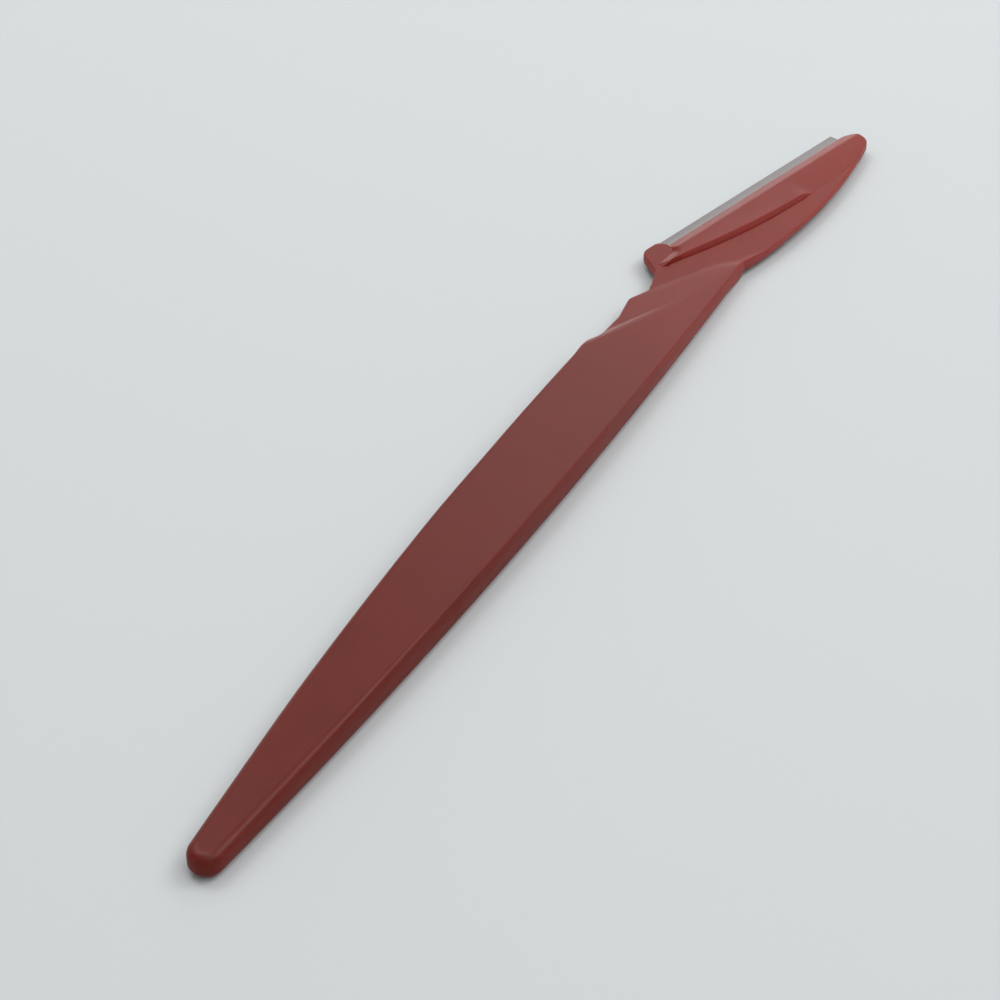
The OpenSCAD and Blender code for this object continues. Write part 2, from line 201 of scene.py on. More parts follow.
# Places in the head's frame
BLADE_U = 2 * BLADE_GAP
BLADE_END = BLADE_U + BLADE_L
TIP_U = BLADE_END + 2 * BLADE_GAP
HEAD_L = BLADE_END + TIP_L
DEEPEST_U, RIDGE_U, CREST_U = HEAD_L * 0.18, HEAD_L * 0.55, HEAD_L * 0.24
RIDGE_DEPTH = BLADE_H + RIDGE_LAP
HEAD_DEPTH = RIDGE_DEPTH + STRIP_W
TIP_DEPTH = BLADE_H - TIP_TAPER
BACK_R = (HEAD_L - DEEPEST_U) ** 2 / (2 * (HEAD_DEPTH - TIP_DEPTH))
NOSE_END = 3 * NOSE_R - NOSE_L
RIDGE_R = (RIDGE_U - NOSE_END) ** 2 / (2 * (RIDGE_DEPTH - NOSE_DEPTH - 4 * NOSE_R / 3))
LIP_V, LIP_Z, LIP_LOW = -EXPOSURE - LIP_W, WEB_TOP + LIP_RISE, COVER_Z + LIP_T
PEG_V = PEG_BACK - BLADE_H
PEG_STEP = (BLADE_L - 2 * PEG_INSET) / (PEG_COUNT - 1)
PEGS = [(BLADE_U + PEG_INSET + i * PEG_STEP, PEG_V) for i in range(PEG_COUNT)]
BACK_END = HEAD_L - 2 * TIP_BACK_R


def back_v(u):
    return np.square(np.asarray(u) - DEEPEST_U) / (2 * BACK_R) - HEAD_DEPTH


def ridge_v(u):
    return np.square(np.asarray(u) - RIDGE_U) / (2 * RIDGE_R) - RIDGE_DEPTH


# Places in the part's frame
TURN = math.radians(HEAD_ANGLE)
ALONG = np.array([math.cos(TURN), -math.sin(TURN)])
ACROSS = np.array([math.sin(TURN), math.cos(TURN)])
KINK = np.array([NECK_L, -side_y(NECK_L)])
HEEL = KINK - CORNER_U * ALONG - (back_v(CORNER_U) + CORNER_SINK) * ACROSS
NOTCH_X = NECK_L - NOTCH_BACK
NOTCH = np.array([NOTCH_X, side_y(NOTCH_X) - NOTCH_DEPTH])
BUMP_X = NOTCH_X - BUMP_BACK
BUMP = np.array([BUMP_X, side_y(BUMP_X)])
SCALLOP_X = BUMP_X - SCALLOP_BACK
STEP_X = NOTCH_X - STEP_BACK
STEP_START = np.array([STEP_X, side_y(STEP_X)])
STEP_TURN = math.radians(STEP_ANGLE)
STEP_RUN = np.array([math.cos(STEP_TURN), -math.sin(STEP_TURN)])
STEP_OUT = np.array([-STEP_RUN[1], STEP_RUN[0]])
WEB_END_X = NECK_L + 0.5
WEB_END = np.array([WEB_END_X, -side_y(WEB_END_X)])
WEB_RUN = (WEB_END - NOTCH) / np.linalg.norm(WEB_END - NOTCH)
WEB_OUT = np.array([-WEB_RUN[1], WEB_RUN[0]])


def to_head(p):
    q = np.asarray(p) - HEEL
    return np.stack([q @ ALONG, q @ ACROSS], -1)


def to_world(q):
    q = np.asarray(q, float)
    return HEEL + q[..., :1] * ALONG + q[..., 1:2] * ACROSS


# Curves in plan
def rounded(path, steps=16):
    """An open path of (point, radius) with its corners rounded."""
    out = [np.asarray(path[0][0], float)]
    for (a, _), (q, r), (b, _) in zip(path, path[1:], path[2:]):
        a, q, b = (np.asarray(p, float) for p in (a, q, b))
        if r <= 0:
            out.append(q)
            continue
        d, e = (a - q) / np.linalg.norm(a - q), (b - q) / np.linalg.norm(b - q)
        half = math.acos(max(-1, min(1, float(d @ e)))) / 2
        c = q + (d + e) / np.linalg.norm(d + e) * r / math.sin(half)
        s = q + d * r / math.tan(half) - c
        turn = (q[0] - a[0]) * (b[1] - q[1]) - (q[1] - a[1]) * (b[0] - q[0])
        sweep = math.copysign(math.pi - 2 * half, turn)
        start = math.atan2(s[1], s[0])
        for i in range(steps + 1):
            t = start + sweep * i / steps
            out.append(c + r * np.array([math.cos(t), math.sin(t)]))
    out.append(np.asarray(path[-1][0], float))
    return np.array(out)


def resampled(points, spacing, closed=False):
    """The same line with even steps; spacing is a number or a function of the point."""
    points = np.asarray(points, float)
    if closed:
        points = np.vstack([points, points[:1]])
    keep = np.r_[True, np.linalg.norm(np.diff(points, axis=0), axis=1) > 1e-9]
    points = points[keep]
    run = np.r_[0, np.cumsum(np.linalg.norm(np.diff(points, axis=0), axis=1))]
    fine = np.linspace(0, run[-1], int(run[-1] / 0.02) + 2)
    line = np.stack([np.interp(fine, run, points[:, i]) for i in (0, 1)], 1)
    gap = spacing(line) if callable(spacing) else np.full(len(fine), spacing)
    rate = np.r_[0, np.cumsum(np.diff(fine) / gap[1:])]
    n = max(2, int(round(rate[-1])))
    at = np.interp(np.linspace(0, rate[-1], n + 1), rate, fine)
    out = np.stack([np.interp(at, fine, line[:, i]) for i in (0, 1)], 1)
    return out[:-1] if closed else out


def distance(p, line, closed=True):
    """Distance from each point to a line."""
    a = line
    b = np.roll(line, -1, 0)
    if not closed:
        a, b = a[:-1], b[:-1]
    ab = b - a
    length = np.maximum((ab ** 2).sum(1), 1e-12)
    out = np.full(len(p), np.inf)
    for i in range(0, len(p), 2000):
        q = p[i:i + 2000, None] - a[None]
        t = np.clip((q * ab).sum(2) / length, 0, 1)
        out[i:i + 2000] = np.sqrt(((q - t[..., None] * ab) ** 2).sum(2).min(1))
    return out


def inside(p, ring):
    """Whether each point lies inside a closed ring."""
    x, y = p[:, 0], p[:, 1]
    out = np.zeros(len(p), bool)
    for (ax, ay), (bx, by) in zip(ring, np.roll(ring, -1, 0)):
        if ay == by:
            continue
        hit = (ay > y) != (by > y)
        out ^= hit & (x < (bx - ax) * (y - ay) / (by - ay) + ax)
    return out


# Soft steps and joins
def smooth(t):
    t = np.clip(t, 0, 1)
    return t * t * (3 - 2 * t)


def ramp(t, k=0.12):
    """From 0 to 1 in a straight slope with a short curve at each end."""
    def rise(x):
        return np.where(x <= -k, 0, np.where(x >= k, x, (x + k) ** 2 / (4 * k)))
    t = np.asarray(t, float) * (1 + 2 * k) - k
    return rise(t) - rise(t - 1)


def soft_min(a, b, k):
    h = np.clip(0.5 + (b - a) / (2 * k), 0, 1)
    return b + (a - b) * h - k * h * (1 - h)


def soft_max(a, b, k):
    return -soft_min(-a, -b, k)


# Outlines
TIP_PATH = [
    ((HEAD_L, -TIP_DEPTH), TIP_BACK_R),
    ((HEAD_L, TIP_GUARD - EXPOSURE), TIP_R),
    ((TIP_U + 0.05, TIP_GUARD - EXPOSURE), 0.4),
    ((TIP_U - 1.0, -EXPOSURE), 1.5),
]
NOSE_TURN_R = NOSE_R * 0.9


def high_y(x):
    """The handle's far side, which draws in a little towards the scallop."""
    return side_y(x) - FAR_DRAW * smooth((np.asarray(x) - FAR_DRAW_X) / FAR_DRAW_L)


def handle_outline():
    tail = [(t, -1) for t in np.linspace(math.pi / 2, TAIL_TURN, 24)]
    low = [(-TAIL_X - TAIL_R * math.sin(t), s * TAIL_R * math.cos(t)) for t, s in tail]
    first = -SIDE_R * math.sin(TAIL_TURN)

    # the near side, up to where it meets the head's back
    us = np.linspace(1.5, CORNER_U + 0.5, 400)
    w = to_world(np.stack([us, back_v(us)], 1))
    start = us[np.argmax(w[:, 1] < -side_y(w[:, 0]))]
    meet = to_world([start, back_v(start)])
    low += [(x, -side_y(x)) for x in np.linspace(first, meet[0] - MEET_R, 200)[1:]]

    # the head, the lobe, the notch and the scallop
    path = [(low[-1], 0), (meet, MEET_R)]
    path += [(to_world([u, back_v(u)]), 0) for u in np.linspace(start + MEET_R, BACK_END, 60)]
    path += [(to_world(p), r) for p, r in TIP_PATH + [
        ((-BLADE_U, -EXPOSURE), 0.1),
        ((-LOBE_FRONT, -LOBE_INSET), LOBE_FRONT_R),
        ((-LOBE_FRONT - LOBE_END_L, -LOBE_INSET), LOBE_BACK_R),
        ((-LOBE_L, -THROAT_DEPTH), THROAT_R),
    ]]
    floor_y = side_y(SCALLOP_X) - SCALLOP_DEPTH
    far = SCALLOP_X - SCALLOP_L * SCALLOP_REACH
    path += [
        (NOTCH, NOTCH_R),
        (BUMP, BUMP_R),
        ((SCALLOP_X + SCALLOP_L * SCALLOP_FLOOR, floor_y), SCALLOP_R),
        ((SCALLOP_X - SCALLOP_L * SCALLOP_FLOOR, floor_y + SCALLOP_TILT), SCALLOP_R),
        ((far, high_y(far)), SCALLOP_END_R),
        ((far - 2, high_y(far - 2)), 0),
    ]
    front = rounded(path)

    # the far side, back to the tail
    high = [(x, high_y(x)) for x in np.linspace(far - 2, first, 200)[1:-1]]
    high += [(x, -y) for x, y in low[:24][::-1]]
    ring = np.vstack([low[:-1], front, high[:-1]])
    narrow = 1 - TAIL_DRAW * smooth((TAIL_DRAW_X - ring[:, 0]) / TAIL_DRAW_L)
    ring[:, 1] *= np.where(ring[:, 1] > 0, narrow, 1)

    def spacing(p):
        return np.interp(p[:, 0], [-76, -72, -66, 8, 16], [0.1, 0.15, 0.6, 0.6, RING_STEP])
    return resampled(ring, spacing, closed=True)


def ridge_line():
    """Foot of the ridge from the blade's heel round the nose and along it, in the head's frame."""
    us = np.linspace(NOSE_END, HEAD_L + WEB_T, 80)
    return rounded([
        ((WEB_T - BLADE_U, WEB_T), 0),
        ((-BLADE_U, -EXPOSURE), 0.15),
        ((-SHOULDER_L, -SHOULDER_DEPTH), SHOULDER_R),
        ((-NOSE_L, NOSE_R - NOSE_DEPTH), NOSE_TURN_R),
        ((-NOSE_L, -NOSE_R - NOSE_DEPTH), NOSE_TURN_R),
    ] + [((u, ridge_v(u)), 0) for u in us])


def cover_outline():
    us = np.linspace(26, 32, 2000)
    cross = us[np.argmax(ridge_v(us) < back_v(us))]
    front_v = FRONT_SHIFT - EXPOSURE
    path = [
        ((15, front_v), 0),
        ((-BLADE_U, front_v), 0.12),
        ((-SHOULDER_L, -SHOULDER_DEPTH), SHOULDER_R),
        ((-NOSE_L, NOSE_R - NOSE_DEPTH), NOSE_TURN_R),
        ((-NOSE_L, -NOSE_R - NOSE_DEPTH), NOSE_TURN_R),
    ]
    path += [((u, ridge_v(u)), 0) for u in np.linspace(NOSE_END, cross, 90)]
    path += [((u, back_v(u)), 0) for u in np.linspace(cross, BACK_END, 12)[1:]]
    path += TIP_PATH + [((15, front_v), 0)]
    return resampled(rounded(path)[:-1], RING_STEP, closed=True)


# Heights over the plan
def facet_plane(a, b, c):
    """The height of the plane through three points."""
    n = np.cross(np.subtract(b, a), np.subtract(c, a))
    return lambda p: a[2] - (n[0] * (p[:, 0] - a[0]) + n[1] * (p[:, 1] - a[1])) / n[2]


TOP_FACET = facet_plane(
    (*STEP_START, float(top_z(STEP_X)) - STEP_T),
    (*NOTCH, WEB_TOP + NOTCH_STEP_T),
    (*KINK, float(top_z(NECK_L))))
LOW_FACET = facet_plane((*STEP_START, STEP_T), (*NOTCH, WEB_BOTTOM - NOTCH_STEP_T), (*KINK, 0.0))
END_LINE = rounded([
    ((-BLADE_U, -EXPOSURE), 0),
    ((-SHOULDER_L, -SHOULDER_DEPTH), SHOULDER_R),
    ((-NOSE_L, NOSE_R - NOSE_DEPTH), NOSE_TURN_R),
    ((-NOSE_L, -NOSE_R * 0.5 - NOSE_DEPTH), 0),
], 8)
RIDGE_LINE = ridge_line()
RIDGE_REGION = np.vstack([RIDGE_LINE, [[HEAD_L + WEB_T, WEB_T]]])


def past_step(p):
    return (p - STEP_START) @ STEP_OUT


def past_web(p):
    return (p - NOTCH) @ WEB_OUT


def roof(q):
    """The cover's roof, in the head's frame.

    A bevel beside the blade, then a climb to the rib, and a slope to the web past the rib's end.
    """
    u, v = q[:, 0], q[:, 1]
    bevel = LIP_LOW + (-EXPOSURE - v) * (LIP_Z - LIP_LOW) / LIP_W
    crest = RIDGE_T - CREST_DIP * np.square(u - CREST_U)
    crest = crest + (SEAM_T - crest) * ramp((u - RIB_END_U) / RIB_DROP_L, 0.4)
    across = np.clip((LIP_V - v) / (LIP_V - ridge_v(u)), 0, 1.15)
    climb = WEB_TOP + LIP_RISE + (crest - LIP_RISE) * across ** 1.5
    nose = WEB_TOP + NOSE_SLOPE * distance(q, END_LINE, closed=False)
    dip = TIP_DIP * np.square(np.maximum(u - RIB_END_U - TIP_DIP_FROM, 0))
    return soft_min(soft_min(bevel, climb, SOFT_BEVEL), nose, SOFT_NOSE) - dip


def heights(p):
    """Top and underside of the handle's moulding, before the rounding of its edges."""
    q = to_head(p)
    top, low = top_z(p[:, 0]), np.zeros(len(p))

    # the first step, whose riser widens and fades towards the back corner
    reach = np.interp((p - STEP_START) @ STEP_RUN, [STEP_FADE, STEP_FADE + STEP_FADE_L],
                      [STEP_SOFT, STEP_SOFT_END])
    step = ramp((past_step(p) + STEP_LEAD) / reach + 1)
    top = top + (soft_min(top, TOP_FACET(p), SOFT_STEP) - top) * step
    low = low + (soft_max(low, LOW_FACET(p), SOFT_STEP) - low) * step

    # the second step: a flank that slopes down to the web
    run = (p - NOTCH) @ WEB_RUN
    flank = past_web(p) + np.interp(run, FLANK_RUN, FLANK_START)
    slope = np.interp(run, FLANK_SLOPE_RUN, FLANK_SLOPE)
    top = soft_min(top, top - slope * flank, SOFT_WEB)
    top = soft_max(top, WEB_TOP, SOFT_WEB)
    top = top + (WEB_TOP - top) * ramp((past_web(p) - WEB_AT) / WEB_SOFT + 0.5)
    low = low + (WEB_BOTTOM - low) * ramp(past_web(p) / LOW_SOFT + LOW_LEAD)

    # how far each point lies inside the ridge's foot
    near = (q[:, 0] > -NOSE_L - 1) & (q[:, 1] > -RIDGE_DEPTH - 1)
    depth = np.full(len(p), -9.0)
    if near.any():
        d = distance(q[near], RIDGE_REGION)
        depth[near] = np.where(inside(q[near], RIDGE_REGION), d, -d)

    # the lower ridge mirrors the cover's roof
    mirrored = 2 * BLADE_Z - roof(q)
    low = low + (mirrored - low) * smooth((depth + 0.02) / np.interp(q[:, 0], FOOT_U, FOOT_W))

    # the seat of the blade, the pocket of the cover and the pegs' countersinks
    in_blade = (q[:, 0] > BLADE_U - BLADE_GAP) & (q[:, 0] < BLADE_END + BLADE_GAP)
    in_blade &= q[:, 1] > -BLADE_H - BLADE_GAP
    pocket = np.where(in_blade, SEAT_Z - SEAT_SINK, COVER_Z - SEAT_SINK)
    rim = np.interp(q[:, 0], [RIB_END_U + run for run in RIM_RUN], RIM_DEPTH)
    top = np.where(depth > rim, pocket, top)
    for u, v in PEGS:
        r = np.hypot(q[:, 0] - u, q[:, 1] - v)
        low = np.where(r < STAKE_D / 2 + PEG_GAP - 0.005, low + STAKE_DEPTH, low)
    return top, low


# Solids over a plan
def edge_profile(ring_w, ring_h, ring_r):
    """Insets and drops from the wall's top up a sloping band and round the edge onto the face."""
    ring_r = np.minimum(ring_r, 0.95 * ring_h)
    wall = ring_w * (1 - ring_r / ring_h)
    face = ring_w + ring_r
    insets, drops = [np.zeros_like(ring_w)], [ring_h]
    for k in range(EDGE_STEPS + 1):
        a = math.pi / 2 * (1 - k / EDGE_STEPS)
        insets.append(face - (face - wall) * math.sin(a))
        drops.append(ring_r * (1 - math.cos(a)))
    for extra in (0.06, 0.2, 0.5):
        insets.append(face + extra)
        drops.append(np.zeros_like(ring_w))
    return np.array(insets), np.array(drops)


def ring_normals(ring):
    d = np.roll(ring, -1, 0) - np.roll(ring, 1, 0)
    d /= np.linalg.norm(d, axis=1)[:, None]
    n = np.stack([-d[:, 1], d[:, 0]], 1)
    for _ in range(2):
        n = np.roll(n, 1, 0) + 2 * n + np.roll(n, -1, 0)
        n /= np.linalg.norm(n, axis=1)[:, None]
    return n


def room(ring, normals, most):
    """How far each point can move inwards before it comes near another part of the ring."""
    free = np.full(len(ring), most)
    for d in np.linspace(0.05, most, 24)[::-1]:
        tight = distance(ring + normals * d, ring) < d * 0.97
        free = np.where(tight, np.minimum(free, d * 0.85), free)
    for _ in range(6):
        free = np.minimum(free, (np.roll(free, 1) + np.roll(free, -1)) / 2 + 0.02)
    return free


def blend_along(ring, values, length):
    """Values along a closed ring, averaged over a length."""
    step = np.linalg.norm(np.roll(ring, -1, 0) - ring, axis=1)
    out = values.astype(float).copy()
    for _ in range(int(2 * (length / step.min()) ** 2 / 4)):
        out = (np.roll(out, 1) + 2 * out + np.roll(out, -1)) / 4
    return out


def new_object(name, verts, faces, attributes=(), smooth_faces=True):
    """An object from points in metres, with its point attributes."""
    mesh = bpy.data.meshes.new(name)
    mesh.from_pydata(verts, [], faces)
    mesh.validate()
    mesh.polygons.foreach_set("use_smooth", [smooth_faces] * len(mesh.polygons))
    mesh.update()
    for key, values in attributes:
        layer = mesh.attributes.new(key, "FLOAT", "POINT")
        layer.data.foreach_set("value", np.asarray(values, np.float32))
    obj = bpy.data.objects.new(name, mesh)
    bpy.context.scene.collection.objects.link(obj)
    return obj


def pillow(name, ring, edge, inner, both, top_share=1, low_share=1, low_w=1, low_h=0):
    """A closed solid over a plan: rings that follow its outline, and a net of triangles within.

    edge holds the band's width and height and the edge radius along the ring, and both gives the
    top and the underside. The shares scale the edge on each face, and low_w and low_h add a
    chamfer to the underside.
    """
    normals = ring_normals(ring)
    insets, drops = edge_profile(*edge)
    insets = insets * np.minimum(1, room(ring, normals, MOST_INSET) / insets[-1])
    n, levels = len(ring), len(insets)
    rings = ring[None] + normals[None] * insets[..., None]

    # a triangle net inside the last ring
    last = rings[-1]
    pts = inner[inside(inner, last)]
    pts = pts[distance(pts, last) > 0.05]
    verts = [Vector(p) for p in last] + [Vector(p) for p in pts]
    edges = [(i, (i + 1) % n) for i in range(n)]
    net, _, net_faces, origin = delaunay_2d_cdt(verts, edges, [], 1, 1e-5)[:4]
    ring_of = {i: s for i, source in enumerate(origin) for s in source if s < n}
    place, extra = {}, []
    for i, point in enumerate(net):
        if i in ring_of:
            place[i] = (levels - 1) * n + ring_of[i]
        else:
            place[i] = levels * n + len(extra)
            extra.append(tuple(point))
    plan = np.vstack([rings.reshape(-1, 2), np.array(extra)])
    total = len(plan)

    # heights, less the edge's drop, which never takes more than its share of the thickness
    top, low = both(plan)
    drop = np.zeros((2, total))
    drop[0, :levels * n] = (drops * top_share).reshape(-1)
    chamfer = low_h * (1 - insets / low_w)
    drop[1, :levels * n] = np.maximum(drops * low_share, chamfer).reshape(-1)
    thick = (top - low) * 0.42
    top, low = top - np.minimum(drop[0], thick), low + np.minimum(drop[1], thick)
    co = np.vstack([np.c_[plan, top], np.c_[plan, low]]) / 1000

    # faces of the top, then the same of the underside, turned over, and the wall between them
    faces = []
    for k in range(levels - 1):
        for i in range(n):
            j = (i + 1) % n
            a, b, c, d = k * n + i, k * n + j, (k + 1) * n + j, (k + 1) * n + i
            faces.append((a, b, c, d))
            faces.append((total + a, total + d, total + c, total + b))
    for i in range(n):
        j = (i + 1) % n
        faces.append((i, total + i, total + j, j))
    for face in net_faces:
        a = [place[i] for i in face]
        (x0, y0), (x1, y1), (x2, y2) = plan[a]
        if (x1 - x0) * (y2 - y0) < (x2 - x0) * (y1 - y0):
            a = a[::-1]
        faces.append(tuple(a))
        faces.append(tuple(total + i for i in a[::-1]))

    # painted light in the base colour, lighter towards the head and on the side walls; where the
    # coarse side walls are; and the gloss
    x = co[:, 0] * 1000
    wall = np.zeros(total)
    for k, share in enumerate(WALL_SHARES):
        wall[k * n:(k + 1) * n] = share
    wall = np.r_[wall, wall]
    # thin is painted light, set by place along the part and on the walls, not by thickness
    thin = np.interp(x, PAINTED_LIGHT_X, PAINTED_LIGHT) + wall * np.interp(x, WALL_X, WALL_PAINTED_LIGHT)
    shine = SHINE + wall * np.interp(x, WALL_X, WALL_SHINE)
    return new_object(name, co.tolist(), faces, (("thin", thin), ("side", wall), ("shine", shine)))


def rows(line, offsets, spacing):
    """Rows of points beside a line."""
    line = resampled(line, spacing)
    d = np.gradient(line, axis=0)
    d /= np.linalg.norm(d, axis=1)[:, None]
    n = np.stack([-d[:, 1], d[:, 0]], 1)
    return np.vstack([line + n * o for o in offsets])


def grid(x0, x1, y0, y1, step):
    xs, ys = np.meshgrid(np.arange(x0, x1, step), np.arange(y0, y1, step))
    return np.stack([xs.ravel(), ys.ravel()], 1)


def thinned(keep, more, gap):
    """Those of the points in more that lie at least a gap from every point in keep."""
    cells = {}
    for p in keep:
        cells.setdefault((int(p[0] // gap), int(p[1] // gap)), []).append(p)
    out = []
    for p in more:
        i, j = int(p[0] // gap), int(p[1] // gap)
        near = [q for a in (-1, 0, 1) for b in (-1, 0, 1) for q in cells.get((i + a, j + b), [])]
        if all((p[0] - q[0]) ** 2 + (p[1] - q[1]) ** 2 > gap * gap for q in near):
            out.append(p)
    return np.array(out)


def rib_end_points(v0, v1):
    """Close points where the rib drops to the web, in the head's frame."""
    return grid(RIB_END_U - 0.5, RIB_END_U + RIB_DROP_L + 0.5, v0, v1, 0.21)


# The handle, neck and head as one moulding
def handle_points():
    """The net's points: close ones along the handle's features, and plain grids elsewhere."""
    step_line = np.array([STEP_START - 1.5 * STEP_RUN, STEP_START + 26 * STEP_RUN])
    web_line = np.array([NOTCH - 1.5 * WEB_RUN, NOTCH + 16 * WEB_RUN])
    foot = [0.1, 0.03, 0.01, -0.03, -0.1, -0.18, -0.27, -0.36, -0.45, -0.55, -0.7]
    close = [
        rows(step_line, np.linspace(-3.3, 0.05, 28), 0.35),
        rows(web_line, np.linspace(-2.3, 2.1, 42), 0.3),
        to_world(rows(RIDGE_LINE, foot, 0.25)),
        to_world(rib_end_points(-RIDGE_DEPTH, LIP_V)),
    ]
    sink_r = STAKE_D / 2 + PEG_GAP
    turn = np.linspace(0, 2 * math.pi, 41)[:-1]
    for u, v in PEGS:
        for r in (0.3, 0.6, sink_r - 0.02, sink_r, 0.9, 1.05):
            close.append(to_world(np.stack([u + r * np.cos(turn), v + r * np.sin(turn)], 1)))
    ends = np.linspace(-EXPOSURE, -BLADE_H, 30)
    for u in (BLADE_U - BLADE_GAP, BLADE_END + BLADE_GAP):
        for side in (-0.02, 0.02):
            close.append(to_world(np.stack([np.full(30, u + side), ends], 1)))
    close = np.vstack(close)
    fine = grid(FINE_FROM, 72, -9, 9, 0.33) + np.array([0.07, 0.05])
    coarse = grid(-75, FINE_FROM, -6, 6, COARSE_STEP)
    return np.vstack([close, thinned(close, fine, 0.2), coarse])


def build_handle():
    outline = handle_outline()
    x, y = outline[:, 0], outline[:, 1]
    u, v = to_head(outline).T

    # the neck and the head are cut square, and the handle has sloping bands
    on_cut = (x > SCALLOP_X - SCALLOP_L / 2 - 0.3) & ~((y < 0) & (x < KINK[0]))
    cut = blend_along(outline, np.where(on_cut, 1.0, 0.0), 0.6)
    side_r = EDGE_R + (TAIL_EDGE_R - EDGE_R) * np.maximum(0, 1 - (x + TAIL_L) / EDGE_FADE_L)
    side_w = np.where(y < 0, np.interp(x, BAND_FADE_X, [BAND_W, BAND_END_W]), BAND_W)
    band_w = side_w * (1 - cut) + CUT_BAND_W * cut
    edge_r = side_r * (1 - cut) + CUT_EDGE_R * cut
    band_h = BAND_H * (1 - cut) + (edge_r + CUT_WALL) * cut

    # no edge on top under the cover, and a chamfer below along the handle and the head's back
    covered = (u > -0.2) & (v > ridge_v(u) + 0.1)
    bare = blend_along(outline, np.where(covered, 0.0, 1.0), 0.25)
    on_back = (u > 2) & (v < back_v(u) + 0.3)
    back = blend_along(outline, np.where(on_back, np.clip((u - 5) / 8, 0, 1), 0.0), 0.6)
    low_h = LOW_EDGE_H * (1 - cut) * (1 - 0.6 * smooth((x - 32) / 5))
    low_h = low_h + HEAD_LOW_EDGE_H * cut * back
    return pillow("handle_moulding", outline, (band_w, band_h, edge_r), handle_points(), heights,
                  top_share=bare, low_w=LOW_EDGE_W, low_h=low_h)


# The cover over the blade
def cover_heights(p):
    return roof(to_head(p)), np.full(len(p), COVER_Z)


def build_cover():
    ring = to_world(cover_outline())
    q = to_head(ring)
    u, v = q.T

    # the ridge's wall slopes, the nose's end has none of its own, and the rest is cut square
    on_ridge = (np.abs(v - ridge_v(u)) < 0.02) & (u > NOSE_END)
    on_end = (u < NOSE_END + 0.01) | ((u < -0.2) & ~on_ridge)
    on_front = (v > -0.03 - EXPOSURE) & (u < TIP_U)
    seam_u = RIB_END_U + RIDGE_WALL_END
    ridge_w = np.interp(u, [-2.7, 0, RIB_END_U + 0.8, seam_u], [0.4, 0.5, 0.5, LIP_WALL_W])
    ridge_h = np.maximum(roof(q) - WEB_TOP, LEAST_WALL_H)
    ridge_r = np.interp(u, [RIB_END_U, seam_u], [RIDGE_WALL_R, SEAM_WALL_R])
    wall_w = np.where(on_ridge & ~on_end, ridge_w, LIP_WALL_W)
    wall_h = np.where(on_ridge | on_end, ridge_h, LIP_WALL_H)
    wall_r = np.where(on_ridge, ridge_r, np.where(on_end, END_WALL_R, LIP_WALL_R))
    wall_h = np.where(on_front, FRONT_WALL_H, wall_h)
    wall_r = np.where(on_front, FRONT_WALL_R, wall_r)
    edge = [blend_along(ring, values, 0.25) for values in (wall_w, wall_h, wall_r)]

    lip_row = np.array([[-1.0, LIP_V], [HEAD_L, LIP_V]])
    close = np.vstack([
        to_world(rows(lip_row, np.linspace(-0.3, 0.3, 5), 0.3)),
        to_world(rib_end_points(-7, LIP_V - 0.35)),
    ])
    inner = np.vstack([close, thinned(close, grid(30, 72, -9, 9, 0.3), 0.2)])
    return pillow("cover_moulding", ring, edge, inner, cover_heights, low_share=0)


# A peg of the cover, staked in its countersink, from the middle of its head up into the cover
def build_peg(name, u, v):
    x, y = to_world([u, v])
    low = float(2 * BLADE_Z - roof(np.array([[u, v]]))[0]) + STAKE_SINK
    stake_r, peg_r, n = STAKE_D / 2, PEG_D / 2, 40
    profile = [(0.35, 0.0), (0.62, 0.005), (0.74, 0.03), (0.79, 0.08), (stake_r, 0.14), (0.62, 0.3),
               (peg_r, 0.36), (peg_r, 1.0)]
    verts = [(x / 1000, y / 1000, (low + 0.02) / 1000)]
    faces = [(0, 1 + (j + 1) % n, 1 + j) for j in range(n)]
    for r, h in profile:
        for k in range(n):
            a = 2 * math.pi * k / n
            at = x + r * math.cos(a), y + r * math.sin(a)
            verts.append((at[0] / 1000, at[1] / 1000, (low + h) / 1000))
    for k in range(len(profile) - 1):
        a, b = 1 + k * n, 1 + (k + 1) * n
        for j in range(n):
            m = (j + 1) % n
            faces.append((a + j, a + m, b + m, b + j))
    faces.append(tuple(range(len(verts) - n, len(verts))))
    # the pegs carry a fixed share of painted light in their base colour
    attributes = [("thin", [PEG_PAINTED_LIGHT] * len(verts)), ("shine", [SHINE] * len(verts))]
    return new_object(name, verts, faces, attributes)


# The steel strip, with its ground edge and clipped back corners
def build_blade():
    half = BLADE_T / 2
    section = [
        (0, 0.0), (-0.012, EDGE_T / 2), (-0.12, 0.024), (-GRIND_W + 0.06, half - 0.012),
        (-GRIND_W, half - 0.004), (-GRIND_W - 0.06, half), (-2.6, half), (-BLADE_H + 0.03, half),
        (-BLADE_H, half - 0.03),
    ]
    ring = section + [(v, -z) for v, z in section[::-1][:-1]]
    middle = np.linspace(BLADE_U + CLIP_W, BLADE_END - CLIP_W, 60)
    us = [BLADE_U, BLADE_U + 0.03, *middle, BLADE_END - 0.03, BLADE_END]
    verts, faces = [], []
    for u in us:
        end = min(u - BLADE_U, BLADE_END - u)
        back = -BLADE_H + max(0, CLIP_W - end)
        thin = 0.6 if end < 0.01 else 1
        for v, z in ring:
            x, y = to_world([u, max(v, back)])
            verts.append((x / 1000, y / 1000, (BLADE_Z + z * thin) / 1000))
    n = len(ring)
    for k in range(len(us) - 1):
        for j in range(n):
            m = (j + 1) % n
            faces.append((k * n + j, k * n + m, (k + 1) * n + m, (k + 1) * n + j))
    faces.append(tuple(range(n))[::-1])
    faces.append(tuple((len(us) - 1) * n + j for j in range(n)))
    return new_object("blade_strip", verts, faces, smooth_faces=False)


handle = build_handle()
cover = build_cover()
pegs = [build_peg(f"cover_peg_{i + 1}", u, v) for i, (u, v) in enumerate(PEGS)]
blade = build_blade()


